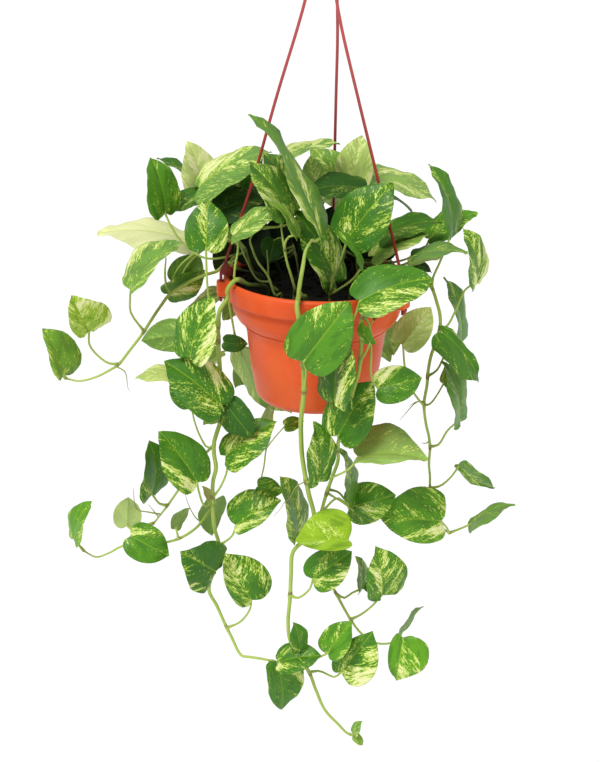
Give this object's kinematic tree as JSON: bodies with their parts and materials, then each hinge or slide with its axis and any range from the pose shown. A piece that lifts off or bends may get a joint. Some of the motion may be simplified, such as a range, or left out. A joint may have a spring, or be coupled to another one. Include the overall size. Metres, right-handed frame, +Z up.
{
  "type": "potted trailing houseplant",
  "caption": "Variegated pothos in a round plastic pot that hangs from a moulded hanger, with leafy vines trailing over the lip on every side.",
  "frame": {"origin": "the top of the hook's inside, where it bears on what holds the plant up; the pot's axis runs straight down from it", "axes": "+Z up along the pot's axis, +Y towards the back of the plant as pictured, +X to the picture's right"},
  "size_m": [0.5191, 0.3135, 0.9422],
  "materials": {
    "pot": "semi-gloss",
    "hanger": "semi-gloss",
    "soil": "matt, crumbly",
    "leaf": "waxy, variegated"
  },
  "bodies": {
    "root": {"pot": "pot", "soil": "soil", "hanger_hook": "hanger", "hanger_leg_left": "hanger", "hanger_leg_back": "hanger", "hanger_leg_right": "hanger", "vine_far_left": "leaf", "vine_left": "leaf", "vine_middle": "leaf", "vine_low_back": "leaf", "vine_behind_left": "leaf", "vine_right_front": "leaf", "vine_right": "leaf", "crown_front_left": "leaf", "crown_middle": "leaf", "crown_front_right": "leaf", "crown_back": "leaf", "crown_right": "leaf", "crown_left": "leaf", "crown_far_left": "leaf", "crown_inner_left": "leaf", "crown_inner_right": "leaf", "vine_back_left": "leaf", "vine_back_middle": "leaf", "vine_back_right": "leaf", "crown_back_left": "leaf", "crown_back_right": "leaf"}
  },
  "joints": []
}
